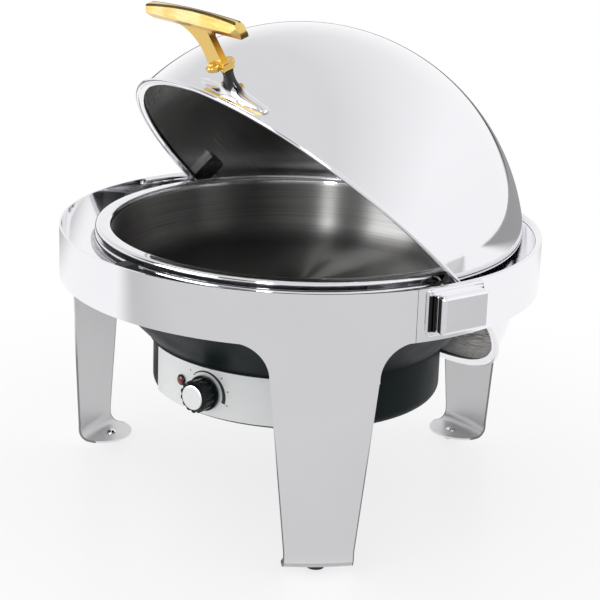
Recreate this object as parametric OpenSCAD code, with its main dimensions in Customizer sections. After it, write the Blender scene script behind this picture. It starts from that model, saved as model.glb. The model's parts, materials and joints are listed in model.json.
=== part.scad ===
// Round electric chafing dish with a roll-top lid. A steel ring on three sheet legs carries a heated
// water pan, a lift-out food pan and a dome that rolls back about two side pivots.
// Millimetres, +Z up, front towards -Y, origin on the floor under the middle of the ring.

/* [Ring frame] */
// Outer radius of the ring
ring_r = 240; // [239:0.5:241]
// Height of the ring band
ring_h = 50; // [48:1:52]
// Height of the ring's lower edge above the floor
ring_z = 223; // [221:1:225]
// Thickness of the frame's steel sheet
sheet_t = 2; // [1.5:0.5:2.5]
// Azimuth of the seam between the front and rear frame pieces
seam_azimuth = 80; // [78:1:81]
// Radius of the rolled top edge of the rear piece
rear_bead_r = 3.5; // [3:0.5:4]

/* [Legs and feet] */
// Half width of a leg at the foot
leg_foot_half = 31; // [28:1:34]
// Half width of a leg where its side meets the ring
leg_top_half = 53; // [48:1:55]
// Radius of the sweep from a leg into the ring
leg_fillet_r = 33; // [28:1:34]
// Outer radius of the bend into the foot flange
foot_bend_r = 12; // [8:1:14]
// Height of a rubber foot
foot_h = 6; // [4:1:8]
// Radius of a rubber foot
foot_r = 9; // [7:1:11]
// Distance of a foot from the middle of the dish
foot_place_r = 216; // [212:1:220]

/* [Lid] */
// Outer radius of the dome
lid_r = 223; // [222:0.5:224]
// Wall of the dome
lid_t = 1.5; // [1.2:0.1:1.8]
// Distance of the rim plane from the pivot axis
rim_offset = 24; // [22:1:26]
// Radius of the rolled rim
rim_bead_r = 2.3; // [2:0.1:2.6]
// Height of the pivot axis above the floor
pivot_z = 250; // [249:0.5:251]
// How far the lid is rolled back in this model
rest_angle = 45; // [0:5:90]

/* [Pivots] */
// Radius of a pivot pin
pin_r = 5; // [4:0.5:5]
// Running clearance round a pin
pin_clear = 0.06; // [0.03:0.01:0.09]
// Width of a pivot cover along the ring
cover_w = 54; // [50:1:58]
// Height of a pivot cover
cover_h = 36; // [34:1:38]
// Distance of a pivot cover's face from the middle of the dish
cover_face_x = 256; // [254:1:258]

/* [Handle] */
// Azimuth of the handle round the dome
handle_azimuth = 15; // [0:1:16]
// Elevation of the handle above the pivot plane, lid closed
handle_elevation = 10; // [10:0.5:13]
// Height of the pedestal above the dome
pedestal_h = 20; // [18:1:22]
// Half length of the pedestal's base
pedestal_half = 45; // [42:1:48]
// Half width of the pedestal's base
pedestal_half_w = 8.5; // [8:0.5:10]
// Tilt of the pedestal's neck towards the crown
neck_tilt = 20; // [16:1:22]
// Lean of the grip on its pedestal
grip_lean = 9; // [6:1:12]
// Length of the grip
grip_l = 131; // [126:1:134]
// Width of the grip
grip_w = 16; // [15:1:18]
// Height of the grip's section
grip_h = 17.2; // [16:0.1:18]

/* [Pans] */
// Radius of the food pan's mouth
food_mouth_r = 189; // [187:0.5:189]
// Outer radius of the food pan's flange
food_flange_r = 205; // [203:0.5:206]
// Height of the food pan's flange above the floor
food_flange_z = 273.5; // [273:0.5:275]
// Depth of the food pan
food_depth = 65; // [55:1:68]
// Outer radius of the water pan's flange
water_flange_r = 206; // [205:0.5:207]
// Height of the inside of the water pan's floor
water_floor_z = 168; // [167:1:170]

/* [Heater base] */
// Radius of the round heater base
base_r = 146; // [144:1:148]
// Height of the underside of the heater base
base_z = 106; // [104:1:108]
// Azimuth of the middle of the control panel
panel_azimuth = 21; // [19:1:22]
// Half of the angle that the control panel covers
panel_half_angle = 36; // [33:1:38]
// Azimuth of the knob
knob_azimuth = 17.5; // [16:0.5:19]
// Height of the knob's axis
knob_z = 133.5; // [130:0.5:135]
// Radius of the knob
knob_r = 17.5; // [16:0.5:18]
// Length of the knob
knob_l = 18.5; // [17:0.5:24]
// Angle from the knob to the lamp
lamp_offset = -12.5; // [-14:0.5:-12]

/* [Hidden] */
$fn = 96;
// Sides of the largest round cuts
large_fn = 720;

// Gap between curved faces that seat on each other
seat = 0.05;
// Gap between a lift-out piece and what it rests on
rest_gap = 0.2;
// Extra length of a cutting tool past the face that it cuts
over = 1;

ring_top = ring_z + ring_h;
ring_in = ring_r - sheet_t;
seam_half_gap = 0.06;
bend_z = foot_h + foot_bend_r;
foot_z = bend_z + 6;
leg_azimuths = [-60, 60, 180];
// How far a leg's outline runs up into the ring, so that its sweep crosses the ring's lower edge
leg_into_ring = 5;
leg_slope = (leg_top_half - leg_foot_half) / (ring_z - foot_h);
mask_depth = 80;
foot_screw_r = 2.5;
foot_screw_head_r = 5;

plate_t = 2.5;
plate_r = ring_in - 2 * seat;
plate_in = plate_r - plate_t;
plate_from = 74;
plate_to = 98;
plate_half_h = 15;

strap_half = 10.5;
strap_top = 58;
strap_t = 2.5;
strap_out = lid_r - lid_t - 0.1;
strap_in = strap_out - strap_t;
strap_fold = 4;
strap_fold_t = 2;
hub_x0 = 216;
hub_x1 = 224;
stud_y = 4.4;
stud_z = [36, 53];
stud_r = 2;
stud_head_r = 3.6;
stud_head_t = 2;

bore_r = pin_r + pin_clear;
pin_head_x = 212.5;
pin_head_t = 3;
pin_head_r = 9;
pin_end_x = 252;
washer_x0 = hub_x1 + rest_gap;
washer_t = 1.8;
spacer_x0 = washer_x0 + washer_t;
spacer_r = 8;
pivot_base_x = 244;
pivot_base_lip = 2;
nut_t = 6;
nut_r = 8.5;

cradle_in = 198.5;
cradle_out = 209;
cradle_t = 3;
cradle_top = 257;
arm_half = 11;
arm_t = cradle_t - 0.5;
arm_tab_h = 22;
side_arm_azimuth = 82;
front_arm_azimuth = 8;

// Depth of the handle's screw heads under the dome's outer face
screw_head_z = lid_t + 1.4;
// The neck and the two screws stand off the middle of the pedestal's base
neck_x = -16;
handle_screw_x = [neck_x + 4.5, neck_x + 13.5];
grip_arc_r = 560;
grip_top = [-18, 52.2];
grip_stud_x = 6.8;
grip_stud_r = 2.5;
grip_bore_r = grip_stud_r + 0.05;

skirt_t = 1.5;
water_flange_z = food_flange_z - 8.5;
water_wall_r = 194;
food_t = 1.2;
food_corner_r = 25;
food_edge_r = 4;

housing_t = 2.5;
housing_top_r = 197;
step_r = base_r + 4.5;
step_z = 160;
edge_r = 10;
cover_t = 2;
ledge_r = 124;
panel_t = 1.2;
panel_z0 = 111;
panel_z1 = 159.5;
knob_face_r = base_r + panel_t + 1 + knob_l;
shaft_r = 3;
shaft_clear = 0.06;
// How far the shaft reaches into the knob
shaft_grip = 11;
lamp_z = 138;
lens_r = 3.8;
bezel_r = 5.4;
gland_azimuth = knob_azimuth + 180;
gland_z = 128;
element_r = 78;
element_tube_r = 4;
plate_disc_r = 105;
plate_disc_t = 5;

// Placing

module at_azimuth(a) {
    rotate([0, 0, a]) children();
}

// Local x runs to the right, y up and z outwards at azimuth a
module outward(a) {
    rotate([0, 0, a]) rotate([90, 0, 0]) children();
}

module sector(a0, a1) {
    rotate([0, 0, a0 - 90]) rotate_extrude(angle = a1 - a0) children();
}

module side(s) {
    mirror([s > 0 ? 0 : 1, 0, 0]) children();
}

// Closed-lid frame: dome towards +Z, front towards -Y, origin on the pivot axis
module lid_pose() {
    translate([0, 0, pivot_z]) rotate([-rest_angle, 0, 0]) children();
}

// On the dome: local x along the rim, y towards the crown, z away from the dome
module handle_pose() {
    lid_pose() rotate([0, 0, handle_azimuth]) rotate([90 - handle_elevation, 0, 0])
        translate([0, 0, lid_r]) children();
}

// On top of the pedestal's neck
module neck_pose() {
    handle_pose() rotate([-neck_tilt, 0, 0]) translate([neck_x, 0, pedestal_h]) children();
}

module grip_pose() {
    neck_pose() rotate([0, -grip_lean, 0]) children();
}

// Shapes that repeat

module rod_x(x0, x1, r) {
    translate([x0, 0, 0]) rotate([0, 90, 0]) cylinder(r = r, h = x1 - x0);
}

module rod_out(r0, r1, r) {
    translate([0, 0, r0]) cylinder(r = r, h = r1 - r0);
}

module quarter_band(c, r_in, r_out, sx, sy) {
    translate(c) intersection() {
        difference() {
            circle(r_out);
            circle(r_in);
        }
        translate([sx > 0 ? 0 : -r_out, sy > 0 ? 0 : -r_out]) square(r_out);
    }
}

module round_rect(w, h, r) {
    square([w - 2 * r, h], center = true);
    square([w, h - 2 * r], center = true);
    for (x = [-1, 1], y = [-1, 1]) translate([x * (w / 2 - r), y * (h / 2 - r)]) circle(r);
}

module ball_shell(r_in, r_out) {
    difference() {
        sphere(r_out);
        sphere(r_in);
    }
}

// Ring frame

function leg_half(z) = leg_foot_half + leg_slope * (z - foot_h);

module sheet_profile() {
    translate([ring_in, bend_z]) square([sheet_t, ring_top - bend_z]);
    quarter_band([ring_r - foot_bend_r, bend_z], foot_bend_r - sheet_t, foot_bend_r, 1, -1);
    translate([ring_r - foot_bend_r - 50, foot_h]) square([50, sheet_t]);
}

module leg_outline() {
    fillet_z = ring_z + leg_into_ring / 8 - leg_fillet_r;
    top_z = ring_z + leg_into_ring;
    run = sqrt(1 + leg_slope * leg_slope);
    fillet_x = leg_half(fillet_z) + leg_fillet_r * run;
    touch_z = fillet_z - leg_fillet_r * leg_slope / run;
    difference() {
        polygon([for (s = [-1, 1], z = s < 0 ? [touch_z, foot_z, -over] : [-over, foot_z, touch_z])
            [s * leg_half(max(z, foot_z)), z],
            [fillet_x, fillet_z], [fillet_x, top_z], [-fillet_x, top_z], [-fillet_x, fillet_z]]);
        for (s = [-1, 1]) translate([s * fillet_x, fillet_z]) circle(leg_fillet_r);
    }
}

// Keeps the foot flange inside a round end
module foot_plan() {
    w = leg_half(foot_z);
    translate([-2 * w, -ring_r - over]) square([4 * w, foot_bend_r + over]);
    translate([0, foot_bend_r - ring_r - 3]) circle(w + 2);
}

module leg_mask(a) {
    intersection() {
        outward(a) translate([0, 0, ring_r + over - mask_depth]) linear_extrude(mask_depth) leg_outline();
        at_azimuth(a) {
            translate([0, 0, -over]) linear_extrude(foot_z) foot_plan();
            translate([-ring_r / 2, -ring_r - 2 * over, foot_z - 2 * over]) cube([ring_r, ring_r, ring_z]);
        }
    }
}

// One bent sheet: the ring's band is kept whole and the rest is cut to the outlines of the legs
module frame_piece(a0, a1, legs, bead) {
    difference() {
        intersection() {
            sector(a0, a1) {
                sheet_profile();
                if (bead) translate([ring_r - rear_bead_r, ring_top - rear_bead_r]) circle(rear_bead_r);
            }
            union() {
                translate([0, 0, ring_z]) cylinder(r = ring_r + 20, h = ring_h + over);
                for (a = legs) leg_mask(a);
            }
        }
        for (a = legs) at_azimuth(a) translate([0, -foot_place_r, 0])
            cylinder(r = foot_screw_r + 0.1, h = bend_z);
    }
}

module front_frame() {
    color("gainsboro") frame_piece(seam_half_gap - seam_azimuth, seam_azimuth - seam_half_gap,
        [-60, 60], false);
}

module rear_frame() {
    color("gainsboro") difference() {
        frame_piece(seam_azimuth + seam_half_gap, 360 - seam_azimuth - seam_half_gap, [180], true);
        translate([0, 0, pivot_z]) rod_x(-ring_r - over, ring_r + over, bore_r);
    }
}

module joining_plate(s) {
    color("silver") side(s) difference() {
        sector(plate_from, plate_to) translate([plate_in, pivot_z - plate_half_h])
            square([plate_t, 2 * plate_half_h]);
        translate([0, 0, pivot_z]) rod_x(0, ring_r, bore_r);
    }
}

module foot_pad(a) {
    color("black") at_azimuth(a) translate([0, -foot_place_r, 0]) difference() {
        cylinder(r1 = foot_r - 0.8, r2 = foot_r, h = foot_h);
        translate([0, 0, 1.5]) cylinder(r = foot_screw_r + 0.1, h = foot_h);
    }
}

module foot_screws() {
    color("silver") for (a = leg_azimuths) at_azimuth(a) translate([0, -foot_place_r, 0]) {
        translate([0, 0, 2]) cylinder(r = foot_screw_r, h = foot_h + sheet_t - 2);
        translate([0, 0, foot_h + sheet_t]) {
            cylinder(r = foot_screw_head_r, h = 1);
            translate([0, 0, 1]) cylinder(r1 = foot_screw_head_r, r2 = 2.5, h = 1.8);
        }
    }
}

// Pivots

module on_axis(s) {
    side(s) translate([0, 0, pivot_z]) children();
}

module block(x0, x1, w, h, r) {
    d = x1 - x0;
    translate([x0 + d / 2, 0, 0]) intersection() {
        rotate([90, 0, 90]) linear_extrude(d + 2 * r, center = true) round_rect(w, h, r);
        translate([-r, 0, 0]) rotate([90, 0, 0]) linear_extrude(w, center = true)
            round_rect(d + 2 * r, h, r);
        translate([-r, 0, 0]) linear_extrude(h, center = true) round_rect(d + 2 * r, w, r);
        translate([-d / 2, -w, -h]) cube([d, 2 * w, 2 * h]);
    }
}

module pivot_base(s) {
    color("silver") on_axis(s) difference() {
        union() {
            block(ring_in - 4, pivot_base_x - pivot_base_lip, cover_w + 10, cover_h + 8, 1.5);
            block(ring_in - 4, pivot_base_x, cover_w + 3, cover_h + 2, 1);
        }
        cylinder(r = ring_r + seat, h = 2 * ring_h, center = true, $fn = large_fn);
        rod_x(ring_in - 5, cover_face_x, bore_r);
    }
}

module pivot_cover(s) {
    color("gainsboro") on_axis(s) difference() {
        block(pivot_base_x, cover_face_x, cover_w, cover_h, 4);
        rod_x(pivot_base_x - over, pin_end_x + 1, nut_r + 1.5);
    }
}

module pivot_pin(s) {
    color("silver") on_axis(s) {
        rod_x(pin_head_x + 1, pin_head_x + pin_head_t, pin_head_r);
        translate([pin_head_x, 0, 0]) rotate([0, 90, 0])
            cylinder(r1 = pin_head_r - 2, r2 = pin_head_r, h = 1);
        rod_x(pin_head_x + pin_head_t, pin_end_x, pin_r);
    }
}

module pivot_nuts() {
    color("silver") for (s = [-1, 1]) on_axis(s) difference() {
        translate([pivot_base_x, 0, 0]) rotate([0, 90, 0]) cylinder(r = nut_r, h = nut_t, $fn = 6);
        rod_x(pivot_base_x - over, pin_end_x, bore_r);
    }
}

module pivot_spacers() {
    color("silver") for (s = [-1, 1]) on_axis(s) difference() {
        intersection() {
            rod_x(spacer_x0, ring_r, spacer_r);
            cylinder(r = plate_in - seat, h = 4 * spacer_r, center = true, $fn = large_fn);
        }
        rod_x(spacer_x0 - over, ring_r, bore_r);
    }
}

module friction_washers() {
    color("dimgray") for (s = [-1, 1]) on_axis(s) difference() {
        rod_x(washer_x0, spacer_x0, spacer_r + 1.5);
        rod_x(washer_x0 - over, ring_r, bore_r);
    }
}

// Pan support

module arm(a, r_out) {
    intersection() {
        outward(a) {
            translate([-arm_half, cradle_top - arm_t, cradle_out - 6]) cube([2 * arm_half, arm_t, 40]);
            translate([-arm_half, cradle_top - arm_tab_h, r_out - 3.2]) cube([2 * arm_half, arm_tab_h, 20]);
        }
        cylinder(r = r_out, h = ring_top);
    }
}

module pan_cradle() {
    color("silver") {
        translate([0, 0, cradle_top - cradle_t]) difference() {
            cylinder(r = cradle_out, h = cradle_t);
            translate([0, 0, -over]) cylinder(r = cradle_in, h = cradle_t + 2 * over);
        }
        arm(front_arm_azimuth, ring_in - seat);
        for (s = [-1, 1]) arm(s * side_arm_azimuth, plate_in - seat);
    }
}

module lid_buffer() {
    top = pivot_z + rim_offset - rim_bead_r - 0.4;
    height = top - cradle_top;
    rise = height - 5;
    color("black") outward(front_arm_azimuth) translate([0, cradle_top, lid_r]) rotate([0, -90, 0])
        linear_extrude(14, center = true) union() {
            translate([-9, 0]) square([20, rise]);
            translate([-4, rise]) square([10, 5]);
            translate([-4, rise]) intersection() {
                circle(5);
                translate([-5, 0]) square(5);
            }
            translate([6, rise]) intersection() {
                circle(5);
                square(5);
            }
        }
}

// Lid

module lid_shell() {
    bead_out = lid_r + rim_bead_r - 1;
    color("whitesmoke") lid_pose() difference() {
        rotate_extrude() {
            intersection() {
                difference() {
                    circle(lid_r);
                    circle(lid_r - lid_t);
                }
                translate([0, rim_offset]) square(lid_r);
            }
            translate([sqrt(bead_out * bead_out - rim_offset * rim_offset), rim_offset])
                circle(rim_bead_r);
        }
        handle_screw_axes() rod_out(-10, 10, foot_screw_r + 0.1);
    }
}

// Places children on the two screws that hold the pedestal, in the closed-lid frame
module handle_screw_axes() {
    rotate([0, 0, handle_azimuth]) rotate([90 - handle_elevation, 0, 0])
        for (x = handle_screw_x) translate([x, 0, lid_r]) children();
}

module strap_outline() {
    circle(strap_half);
    translate([-strap_half, 0]) square([2 * strap_half, strap_top - 4]);
    translate([0, strap_top - strap_half]) round_rect(2 * strap_half, 2 * strap_half, 4);
}

module across(h) {
    rotate([90, 0, 90]) linear_extrude(h) children();
}

module hinge_bracket(s) {
    color("silver") lid_pose() side(s) difference() {
        union() {
            intersection() {
                ball_shell(strap_in, strap_out);
                across(lid_r) strap_outline();
            }
            intersection() {
                ball_shell(strap_in - strap_fold, strap_in + 0.5);
                across(lid_r) translate([-strap_half, 16]) square([strap_fold_t, strap_top - 20]);
            }
            rod_x(hub_x0, hub_x1, strap_half);
        }
        rod_x(hub_x0 - over, hub_x1 + over, bore_r);
        for (y = [-stud_y, stud_y], z = stud_z) translate([0, y, z]) rod_x(hub_x0 - 20, lid_r, stud_r + 0.1);
    }
}

module bracket_studs() {
    head_in = strap_in - 0.05 - stud_head_t;
    color("silver") lid_pose() for (s = [-1, 1], y = [-stud_y, stud_y], z = stud_z) side(s) {
        intersection() {
            translate([0, y, z]) rod_x(0, lid_r, stud_r);
            ball_shell(head_in, lid_r - lid_t - seat);
        }
        intersection() {
            translate([0, y, z]) rod_x(0, lid_r, stud_head_r);
            ball_shell(head_in, strap_in - 0.05);
        }
    }
}

// Handle

// Seen from the front, with the top of the neck at the origin
module pedestal_side() {
    low = -pedestal_h;
    left = -pedestal_half - neck_x;
    right = pedestal_half - neck_x;
    difference() {
        polygon([[left, 3 * low], [right, 3 * low], [right, low - 2.3], [36, low + 3], [36, 0], [-11.5, 0],
            [-11.5, low - 2.5], [left, low - 2.5]]);
        translate([-11.5, -8.5]) circle(14.3);
        translate([38, 8.5]) circle(26);
    }
}

module pedestal_end() {
    difference() {
        translate([-1.5 * pedestal_half_w, -3 * pedestal_h]) square([3 * pedestal_half_w, 3 * pedestal_h]);
        for (s = [-1, 1]) translate([21 * s, -8]) circle(17);
    }
}

module pedestal_plan() {
    l = pedestal_half;
    w = pedestal_half_w;
    translate([-neck_x, 0]) polygon([[-l, w - 6], [-l, 6 - w], [3 - l, 4 - w], [-12, -w], [8, -w], [l, 4 - w],
        [l, w - 4], [8, w], [-12, w], [3 - l, w - 4]]);
}

module handle_pedestal() {
    color("silver") difference() {
        neck_pose() difference() {
            intersection() {
                rotate([90, 0, 0]) linear_extrude(4 * pedestal_half_w, center = true) pedestal_side();
                rotate([90, 0, 90]) linear_extrude(4 * pedestal_half, center = true) pedestal_end();
                translate([0, 0, -3 * pedestal_h]) linear_extrude(4 * pedestal_h) pedestal_plan();
            }
            translate([grip_stud_x, 0, -10.2]) cylinder(r = grip_bore_r, h = 20);
        }
        handle_pose() {
            translate([0, 0, -lid_r]) rotate([90, 0, 0]) sphere(lid_r + seat, $fn = large_fn / 2);
            for (x = handle_screw_x) translate([x, 0, -10]) cylinder(r = foot_screw_r + 0.1, h = 17);
        }
    }
}

// Section of the grip, half width by height
module grip_section() {
    h = grip_w / 2;
    low = grip_top[1] - grip_h;
    polygon([[-3.5, low], [3.5, low], [h, low + 6], [1.2, low + 18.5], [-1.2, low + 18.5], [-h, low + 6]]);
}

// Outline of the grip seen from the front, with its arched top
module grip_outline() {
    left = grip_top[0] - grip_l / 2 - 6;
    right = left + grip_l;
    intersection() {
        translate([grip_top[0], grip_top[1] - grip_arc_r]) circle(grip_arc_r, $fn = large_fn);
        polygon([[left + 11, 33], [left + 5, 36], [left + 1.5, 42], [left, 47], [left + 2.5, 60], [right - 9.5, 60],
            [right - 9.5, 51], [right, 38.5], [right, 36.5], [right - 5.5, 33]]);
    }
}

// Outline of the grip seen from above, with its narrow nose
module grip_plan() {
    h = grip_w / 2 + 1;
    left = grip_top[0] - grip_l / 2 - 6;
    right = left + grip_l;
    polygon([[left - 1, 4 - h], [left + 4, -h], [right - 15, -h], [right + 1, 6 - h], [right + 1, h - 6],
        [right - 15, h], [left + 4, h], [left - 1, h - 4]]);
}

module grip_web() {
    sweep_c = [-56, -6];
    difference() {
        polygon([[sweep_c[0], -3], [11.5, -3], [-4.3, 28.6], [-4, 30], [1.5, 36], [1.5, 40], [-78, 40], [-78, 34.6],
            sweep_c + [0, 42]]);
        translate(sweep_c) circle(41.7);
        translate([1.6, 30.2]) circle(5.3);
    }
}

module handle_grip() {
    color("goldenrod") grip_pose() difference() {
        union() {
            translate([0, 0, -3]) linear_extrude(7.5) union() {
                translate([1, 0]) square([20, 14], center = true);
                for (s = [-1, 1]) translate([-1, 9.5 * s]) circle(6.5);
            }
            rotate([90, 0, 0]) linear_extrude(7, center = true) grip_web();
            intersection() {
                translate([-grip_l, 0, 0]) rotate([90, 0, 90]) linear_extrude(2 * grip_l) grip_section();
                rotate([90, 0, 0]) linear_extrude(2 * grip_w, center = true) grip_outline();
                linear_extrude(70) grip_plan();
            }
        }
        rotate([0, grip_lean, 0]) {
            translate([grip_stud_x, 0, -1]) cylinder(r = grip_bore_r, h = 5.2);
            translate([-20, -20, -20]) cube([40, 40, 20]);
        }
    }
}

module grip_stud() {
    color("silver") neck_pose() translate([grip_stud_x, 0, -10]) cylinder(r = grip_stud_r, h = 14);
}

module handle_screws() {
    color("silver") lid_pose() handle_screw_axes() {
        rod_out(-screw_head_z, 6.5, foot_screw_r);
        rod_out(-screw_head_z - 2.5, -screw_head_z, 4);
    }
}

// Pans

module food_pan() {
    floor_z = food_flange_z - food_depth;
    corner = [food_mouth_r - 4 - food_corner_r, floor_z + food_corner_r];
    mouth = [food_mouth_r + food_edge_r, food_flange_z - food_edge_r];
    edge = [food_flange_r - food_edge_r, food_flange_z - food_edge_r];
    color("dimgray") rotate_extrude() {
        translate([0, floor_z - food_t]) square([corner[0], food_t]);
        quarter_band(corner, food_corner_r, food_corner_r + food_t, 1, -1);
        polygon([[corner[0] + food_corner_r, corner[1]], [corner[0] + food_corner_r + food_t, corner[1]],
            [food_mouth_r + food_t, mouth[1]], [food_mouth_r, mouth[1]]]);
        quarter_band(mouth, food_edge_r - food_t, food_edge_r, -1, 1);
        translate([mouth[0], food_flange_z - food_t]) square([edge[0] - mouth[0], food_t]);
        quarter_band(edge, food_edge_r - food_t, food_edge_r, 1, 1);
        translate([food_flange_r - food_t, water_flange_z + rest_gap])
            square([food_t, edge[1] - water_flange_z - rest_gap]);
    }
}

module water_pan() {
    cone_r = base_r;
    cone_rise = water_wall_r - cone_r;
    under = water_floor_z - skirt_t;
    run = skirt_t * sqrt(2) - skirt_t;
    color("silver") rotate_extrude() difference() {
        union() {
            polygon([[0, under], [cone_r, under], [water_wall_r, under + cone_rise],
                [water_wall_r, water_flange_z], [0, water_flange_z]]);
            translate([0, water_flange_z - skirt_t]) square([water_flange_r - 3, skirt_t]);
            quarter_band([water_flange_r - 3, water_flange_z - 3], 3 - skirt_t, 3, 1, 1);
            translate([water_flange_r - skirt_t, cradle_top + rest_gap])
                square([skirt_t, water_flange_z - 3 - cradle_top - rest_gap]);
        }
        polygon([[0, water_floor_z], [cone_r - run, water_floor_z],
            [water_wall_r - skirt_t, under + cone_rise + run],
            [water_wall_r - skirt_t, water_flange_z + over], [0, water_flange_z + over]]);
    }
}

// Heater base

module at_knob() {
    outward(knob_azimuth) translate([0, knob_z, 0]) children();
}

module at_lamp() {
    outward(knob_azimuth + lamp_offset) translate([0, lamp_z, 0]) children();
}

module housing_profile() {
    inner_r = base_r - housing_t;
    slope = housing_t * sqrt(2);
    cone_top = step_z + 2.5 + housing_top_r - step_r;
    inner_top_r = housing_top_r - housing_t + 0.1;
    translate([ledge_r, base_z]) square([base_r - edge_r - ledge_r, housing_t]);
    quarter_band([base_r - edge_r, base_z + edge_r], edge_r - housing_t, edge_r, 1, -1);
    polygon([[inner_r, base_z + edge_r], [base_r, base_z + edge_r], [base_r, step_z],
        [step_r, step_z], [step_r, step_z + 2.5], [housing_top_r, cone_top],
        [housing_top_r, water_flange_z - skirt_t - 0.1], [inner_top_r, water_flange_z - skirt_t - 0.1],
        [inner_top_r, cone_top + slope - housing_t + 0.1], [step_r - 2, step_z + 0.5 + slope],
        [inner_r, step_z + 0.5]]);
}

module housing() {
    color("darkslategray") difference() {
        rotate_extrude() housing_profile();
        at_knob() rod_out(base_r - 10, base_r + 5, shaft_r + 2);
        at_lamp() rod_out(base_r - 10, base_r + 5, lens_r + 0.5);
        outward(gland_azimuth) translate([0, gland_z, 0]) rod_out(base_r - 10, base_r + 5, 8.1);
        for (a = [45:90:315]) at_azimuth(a) translate([0, -ledge_r - 5, base_z - over])
            cylinder(r = 1.6, h = housing_t + 2 * over);
    }
}

module base_cover() {
    slots = 5;
    color("black") difference() {
        translate([0, 0, base_z - cover_t]) cylinder(r = ledge_r + 9, h = cover_t);
        for (a = [45:90:315]) at_azimuth(a) translate([0, -ledge_r - 5, base_z - cover_t - over])
            cylinder(r = 1.6, h = cover_t + 2 * over);
        for (a = [0, 180], i = [0:slots - 1]) at_azimuth(a)
            translate([(i - (slots - 1) / 2) * 12, -70, base_z - cover_t - over]) {
                translate([-2.5, -15, 0]) cube([5, 30, cover_t + 2 * over]);
                for (s = [-15, 15]) translate([0, s, 0]) cylinder(r = 2.5, h = cover_t + 2 * over);
            }
    }
}

module cover_screws() {
    color("silver") for (a = [45:90:315]) at_azimuth(a) translate([0, -ledge_r - 5, 0]) {
        translate([0, 0, base_z - cover_t]) cylinder(r = 1.5, h = cover_t + housing_t + 2);
        translate([0, 0, base_z - cover_t - 1.6]) cylinder(r1 = 2, r2 = 3, h = 1.6);
    }
}

module heating_plate() {
    color("lightgray") translate([0, 0, water_floor_z - skirt_t - plate_disc_t - 0.1])
        cylinder(r = plate_disc_r, h = plate_disc_t);
}

module heating_element() {
    element_z = water_floor_z - skirt_t - plate_disc_t - element_tube_r - 0.2;
    end = 18;
    color("gray") translate([0, 0, element_z]) {
        sector(gland_azimuth + end, gland_azimuth + 360 - end) translate([element_r, 0])
            circle(element_tube_r, $fn = 32);
        for (s = [-1, 1]) at_azimuth(gland_azimuth + s * (end + 4)) translate([0, -element_r, -20])
            cylinder(r = element_tube_r - 1, h = 20, $fn = 32);
    }
}

module thermal_cutout() {
    top_z = water_floor_z - skirt_t - plate_disc_t - 0.1;
    color("ivory") translate([0, 30, top_z - 6]) {
        cylinder(r = 9, h = 6);
        translate([-12, -3, 4.5]) cube([24, 6, 1.5]);
        for (s = [-1, 1]) translate([s * 5 - 0.4, -3, -9]) cube([0.8, 6, 10]);
    }
}

module thermostat() {
    back = 112;
    front = 141.6;
    color("ivory") at_knob() difference() {
        union() {
            translate([-18, -16, back]) cube([36, 32, front - back - 2]);
            translate([-22, -12, front - 2]) cube([44, 24, 2]);
            rod_out(front - 1, base_r + 0.4, shaft_r + 1.9);
            for (x = [-12, 0, 12]) translate([x - 3, -21, back + 6]) cube([6, 5, 0.8]);
        }
        rod_out(back + 5, base_r + over, shaft_r + shaft_clear);
    }
}

module terminal_block() {
    color("ivory") at_azimuth(gland_azimuth) translate([0, -80, base_z]) difference() {
        translate([-24, -9, 0]) cube([48, 18, 16]);
        for (x = [-16, 0, 16], y = [-4.5, 4.5]) translate([x, y, 9]) cylinder(r = 2.5, h = 8);
        for (x = [-16, 0, 16]) translate([x, -10, 5]) rotate([-90, 0, 0]) cylinder(r = 2, h = 20);
    }
}

module control_panel() {
    a0 = panel_azimuth - panel_half_angle;
    color("whitesmoke") difference() {
        sector(a0, a0 + 2 * panel_half_angle) translate([base_r + seat, panel_z0])
            square([panel_t, panel_z1 - panel_z0]);
        at_knob() rod_out(base_r - 5, base_r + 10, shaft_r + 2);
        at_lamp() rod_out(base_r - 5, base_r + 10, lens_r + 0.5);
    }
}

module lamp_bezel() {
    seat_r = base_r + panel_t + 0.1;
    color("black") at_lamp() difference() {
        union() {
            rod_out(seat_r, seat_r + 1.4, bezel_r);
            translate([0, 0, seat_r + 1.4]) cylinder(r1 = bezel_r, r2 = bezel_r - 0.9, h = 0.9);
        }
        rod_out(base_r - 5, base_r + 10, lens_r + 0.05);
    }
}

module lamp_lens() {
    seat_r = base_r + panel_t;
    dome_r = 6;
    color("darkred") at_lamp() {
        rod_out(base_r - 3, seat_r + 2.4, lens_r);
        translate([0, 0, seat_r + 2.4]) intersection() {
            cylinder(r = lens_r, h = 5);
            translate([0, 0, 1.3 - dome_r]) sphere(dome_r);
        }
    }
}

module lamp_body() {
    color("ivory") at_lamp() {
        rod_out(base_r - 24, base_r - 3.1, lens_r);
        for (s = [-1, 1]) translate([s * 2 - 0.4, -1.2, base_r - 31]) cube([0.8, 2.4, 8]);
    }
}

module cord_gland() {
    color("black") outward(gland_azimuth) translate([0, gland_z, 0]) difference() {
        union() {
            rod_out(base_r - 10, base_r + 6, 8);
            translate([0, 0, base_r + 0.4]) cylinder(r = 12, h = 5, $fn = 6);
            rod_out(base_r + 5.4, base_r + 12, 9);
            translate([0, 0, base_r + 12]) cylinder(r1 = 9, r2 = 6, h = 5);
            translate([0, 0, base_r - housing_t - 6]) cylinder(r = 12, h = 5, $fn = 6);
        }
        rod_out(base_r - 20, base_r + 20, 4);
    }
}

// Knob

module fluted_disc(r, flutes) {
    difference() {
        circle(r);
        for (i = [0:flutes - 1]) rotate(i * 360 / flutes) translate([r + 1.3, 0]) circle(2.6, $fn = 32);
    }
}

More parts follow.
